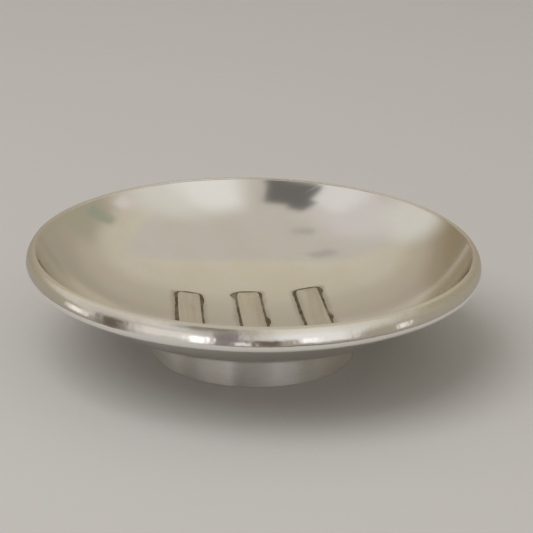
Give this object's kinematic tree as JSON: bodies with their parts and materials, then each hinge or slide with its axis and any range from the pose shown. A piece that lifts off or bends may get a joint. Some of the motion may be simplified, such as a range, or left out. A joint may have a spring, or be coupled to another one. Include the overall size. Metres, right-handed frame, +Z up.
{
  "type": "shaving bowl",
  "caption": "Shallow round metal bowl with a thick rounded rim, a ring foot, and low rest bars that hold a cake of shaving soap clear of the water.",
  "frame": {"origin": "on the bowl's axis, in the plane that the foot stands on", "axes": "+Z up along the bowl's axis; the rest bars run roughly along Y, side by side along X"},
  "size_m": [0.14, 0.14, 0.0344],
  "materials": {
    "satin_silver": "spun silver plate worn to a fine satin",
    "polished_silver": "polished silver plate with fine wear",
    "brushed_silver": "silver plate with turned brush lines round the ring",
    "bar_silver": "drawn silver-plated wire, brushed along its length, yellowed",
    "tarnished_solder": "dull dark tarnished solder"
  },
  "bodies": {
    "root": {"bowl_shell": "satin_silver", "rim_moulding": "polished_silver", "rim_solder": "tarnished_solder", "foot_ring": "brushed_silver", "foot_solder": "tarnished_solder", "rest_bar_left": "bar_silver", "rest_bar_middle": "bar_silver", "rest_bar_right": "bar_silver", "bar_solder_left": "tarnished_solder", "bar_solder_middle": "tarnished_solder", "bar_solder_right": "tarnished_solder"}
  },
  "joints": []
}
